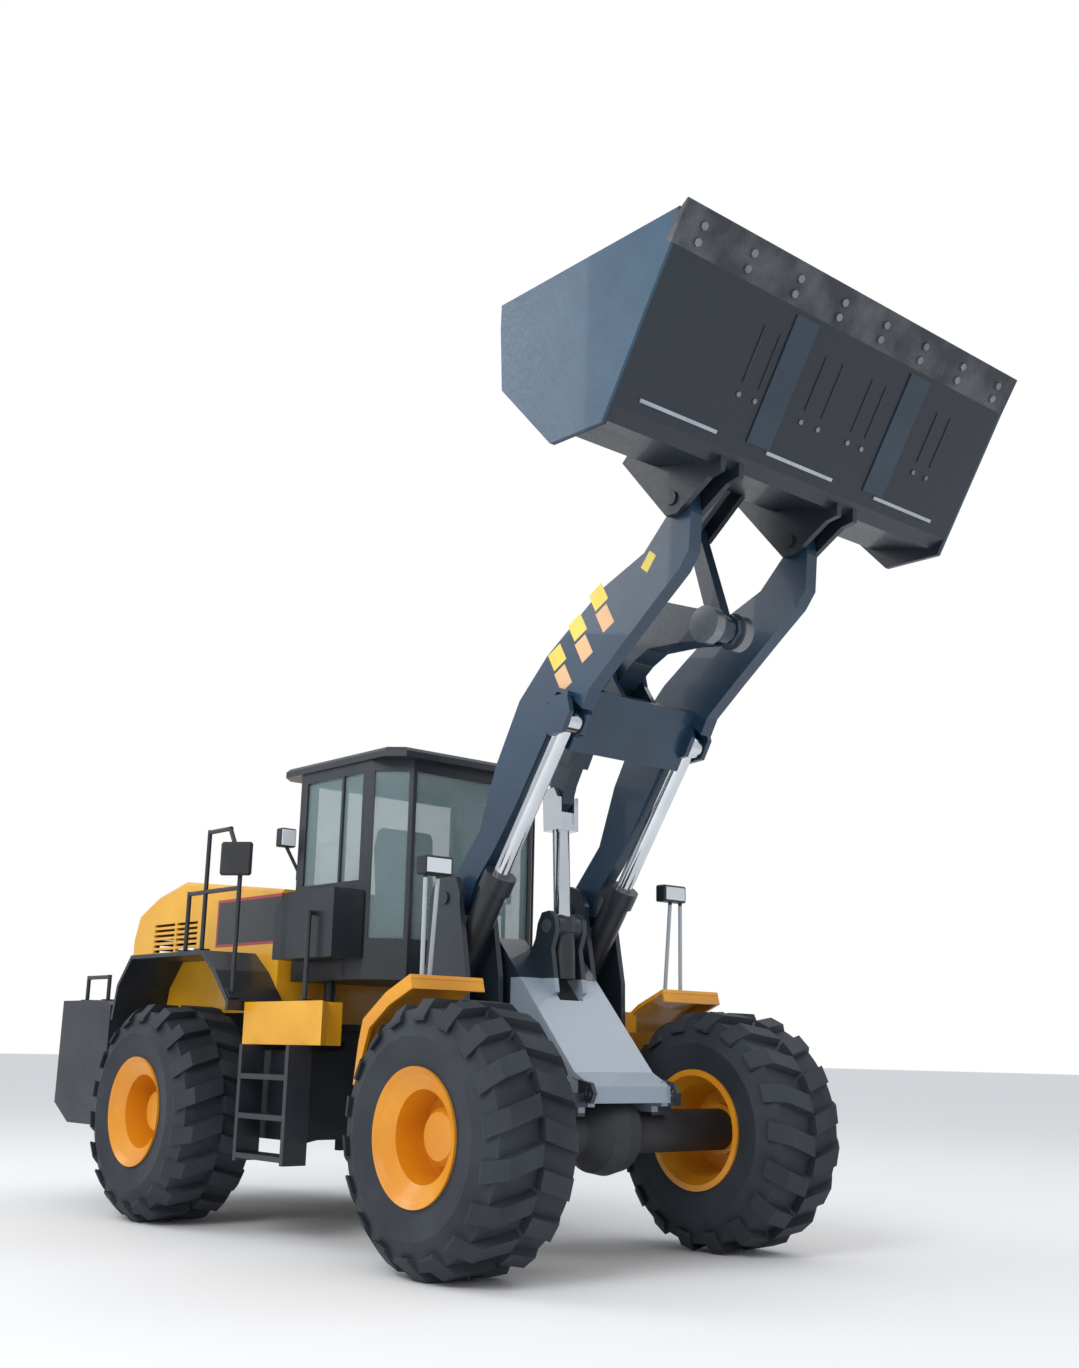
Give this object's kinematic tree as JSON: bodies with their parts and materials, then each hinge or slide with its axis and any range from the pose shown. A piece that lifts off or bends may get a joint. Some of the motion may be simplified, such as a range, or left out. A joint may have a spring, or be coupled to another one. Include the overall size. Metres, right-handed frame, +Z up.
{
  "type": "wheel loader",
  "caption": "Articulated wheel loader with raised boom and rolled-back bucket, Z-bar linkage, glazed cab, rear engine hood and large lugged tyres.",
  "frame": {"origin": "on the ground under the middle of the machine, boom raised as in the picture, on the plane of symmetry", "axes": "+X forward to the bucket, +Y to the machine's left, +Z up; the ground is Z = 0"},
  "size_m": [7.797, 3.178, 5.6555],
  "materials": {
    "blue_paint": "gloss",
    "cast_iron": "rough",
    "chrome_rod": "polished",
    "dark_paint": "satin",
    "dark_plastic": "matte",
    "lamp": "clear",
    "pin_steel": "satin",
    "seat_cloth": "woven",
    "silver_paint": "satin",
    "tyre_rubber": "matte",
    "window_glass": "clear",
    "worn_steel": "worn",
    "yellow_paint": "gloss"
  },
  "bodies": {
    "rear_frame": {"cab_console": "dark_plastic", "cab_glass": "window_glass", "cab_roof": "dark_paint", "cab_seat": "seat_cloth", "cab_shell": "dark_paint", "cab_side_box": "dark_paint", "counterweight": "dark_paint", "engine": "cast_iron", "gearbox": "cast_iron", "handrails": "dark_paint", "hood": "yellow_paint", "ladders": "dark_paint", "mirrors": "dark_plastic", "platforms": "yellow_paint", "rear_axle": "cast_iron", "rear_chassis": "dark_paint", "rear_fenders": "dark_paint", "tanks": "dark_paint", "work_lamps": "lamp"},
    "bellcrank": {"bellcrank": "blue_paint"},
    "bellcrank_pin": {"bellcrank_pin": "pin_steel"},
    "boom": {"boom": "blue_paint"},
    "bucket": {"bucket": "blue_paint", "cutting_edge": "worn_steel"},
    "bucket_pins": {"bucket_pins": "pin_steel"},
    "cab_door": {"cab_door": "dark_paint", "door_glass": "window_glass"},
    "front_frame": {"front_axle": "cast_iron", "front_fenders": "yellow_paint", "front_frame": "dark_paint", "headlamps": "lamp"},
    "grille_door": {"grille_door": "dark_paint"},
    "lift_barrel_left": {"lift_barrel_left": "dark_paint"},
    "lift_barrel_right": {"lift_barrel_right": "dark_paint"},
    "lift_rod_left": {"lift_rod_left": "chrome_rod"},
    "lift_rod_right": {"lift_rod_right": "chrome_rod"},
    "link": {"link": "blue_paint"},
    "link_pin": {"link_pin": "pin_steel"},
    "wheel_front_left": {"rim_front_left": "yellow_paint", "tyre_front_left": "tyre_rubber"},
    "wheel_front_right": {"rim_front_right": "yellow_paint", "tyre_front_right": "tyre_rubber"},
    "wheel_rear_left": {"rim_rear_left": "yellow_paint", "tyre_rear_left": "tyre_rubber"},
    "wheel_rear_right": {"rim_rear_right": "yellow_paint", "tyre_rear_right": "tyre_rubber"},
    "tilt_barrel": {"tilt_barrel": "silver_paint"},
    "tilt_pin": {"tilt_pin": "pin_steel"},
    "tilt_rod": {"tilt_rod": "chrome_rod"}
  },
  "joints": [
    {"name": "steer", "type": "hinge", "parent": "rear_frame", "child": "front_frame", "pos_m": [-0.088, 0, 0.9], "axis": [0, 0, 1], "range_deg": [-38, 38]},
    {"name": "boom_lift", "type": "hinge", "parent": "front_frame", "child": "boom", "pos_m": [0.862, 0, 2.23], "axis": [0, -1, 0], "range_deg": [-87.5, 0]},
    {"name": "lift_barrel_left_swing", "type": "hinge", "parent": "front_frame", "child": "lift_barrel_left", "pos_m": [0.655, 0.557, 1.495], "axis": [0, -1, 0], "range_deg": [-65.8, 0]},
    {"name": "lift_rod_left_stroke", "type": "slide", "parent": "lift_barrel_left", "child": "lift_rod_left", "axis": [0.558, 0, 0.8299], "range_m": [-0.8375, 0]},
    {"name": "lift_barrel_right_swing", "type": "hinge", "parent": "front_frame", "child": "lift_barrel_right", "pos_m": [0.655, -0.557, 1.495], "axis": [0, -1, 0], "range_deg": [-65.8, 0]},
    {"name": "lift_rod_right_stroke", "type": "slide", "parent": "lift_barrel_right", "child": "lift_rod_right", "axis": [0.558, 0, 0.8299], "range_m": [-0.8375, 0]},
    {"name": "bucket_pins_turn", "type": "hinge", "parent": "boom", "child": "bucket_pins", "pos_m": [2.862, 0, 4.5], "axis": [0, -1, 0], "range_deg": [0, 78.05]},
    {"name": "bucket_tilt", "type": "hinge", "parent": "bucket_pins", "child": "bucket", "pos_m": [2.862, 0, 4.5], "axis": [0, 1, 0], "range_deg": [0, 92]},
    {"name": "bellcrank_pin_turn", "type": "hinge", "parent": "boom", "child": "bellcrank_pin", "pos_m": [1.712, 0, 3.73], "axis": [0, -1, 0], "range_deg": [-34.52, 0]},
    {"name": "bellcrank_swing", "type": "hinge", "parent": "bellcrank_pin", "child": "bellcrank", "pos_m": [1.712, 0, 3.73], "axis": [0, -1, 0], "range_deg": [0, 25.04]},
    {"name": "link_pin_turn", "type": "hinge", "parent": "bellcrank", "child": "link_pin", "pos_m": [2.679, 0, 3.852], "axis": [0, -1, 0], "range_deg": [0, 13.7]},
    {"name": "link_swing", "type": "hinge", "parent": "link_pin", "child": "link", "pos_m": [2.679, 0, 3.852], "axis": [0, -1, 0], "range_deg": [-77.96, 0]},
    {"name": "tilt_pin_turn", "type": "hinge", "parent": "front_frame", "child": "tilt_pin", "pos_m": [1.232, 0, 2.07], "axis": [0, -1, 0], "range_deg": [-75.17, 0]},
    {"name": "tilt_barrel_swing", "type": "hinge", "parent": "tilt_pin", "child": "tilt_barrel", "pos_m": [1.232, 0, 2.07], "axis": [0, -1, 0], "range_deg": [-28.57, 0]},
    {"name": "tilt_rod_stroke", "type": "slide", "parent": "tilt_barrel", "child": "tilt_rod", "axis": [-0.0465, 0, 0.9989], "range_m": [-0.0671, 0]},
    {"name": "wheel_front_left_roll", "type": "hinge", "parent": "front_frame", "child": "wheel_front_left", "pos_m": [1.635, 1.158, 0.775], "axis": [0, 1, 0], "continuous": true},
    {"name": "wheel_front_right_roll", "type": "hinge", "parent": "front_frame", "child": "wheel_front_right", "pos_m": [1.635, -1.158, 0.775], "axis": [0, 1, 0], "continuous": true},
    {"name": "wheel_rear_left_roll", "type": "hinge", "parent": "rear_frame", "child": "wheel_rear_left", "pos_m": [-1.811, 1.158, 0.775], "axis": [0, 1, 0], "continuous": true},
    {"name": "wheel_rear_right_roll", "type": "hinge", "parent": "rear_frame", "child": "wheel_rear_right", "pos_m": [-1.811, -1.158, 0.775], "axis": [0, 1, 0], "continuous": true},
    {"name": "cab_door_swing", "type": "hinge", "parent": "rear_frame", "child": "cab_door", "pos_m": [-0.654, 0.796, 2.4], "axis": [0, 0, 1], "range_deg": [0, 85]},
    {"name": "grille_door_swing", "type": "hinge", "parent": "rear_frame", "child": "grille_door", "pos_m": [-3.31, 0.712, 1.9], "axis": [0, 0, -1], "range_deg": [0, 85]}
  ],
  "couplings": [
    {"joint": "lift_barrel_left_swing", "follows": "boom_lift", "ratio": 0.75148},
    {"joint": "lift_rod_left_stroke", "follows": "boom_lift", "m_per_rad": 0.54774},
    {"joint": "lift_barrel_right_swing", "follows": "boom_lift", "ratio": 0.75148},
    {"joint": "lift_rod_right_stroke", "follows": "boom_lift", "m_per_rad": 0.54774},
    {"joint": "bucket_pins_turn", "follows": "boom_lift", "ratio": -0.89143},
    {"joint": "bellcrank_pin_turn", "follows": "boom_lift", "ratio": 0.394},
    {"joint": "bellcrank_swing", "follows": "bucket_tilt", "ratio": 0.27161},
    {"joint": "link_pin_turn", "follows": "boom_lift", "ratio": -0.15598},
    {"joint": "link_swing", "follows": "bucket_tilt", "ratio": -0.8468},
    {"joint": "tilt_pin_turn", "follows": "boom_lift", "ratio": 0.85854},
    {"joint": "tilt_barrel_swing", "follows": "bucket_tilt", "ratio": -0.31},
    {"joint": "tilt_rod_stroke", "follows": "bucket_tilt", "m_per_rad": -0.041192}
  ]
}
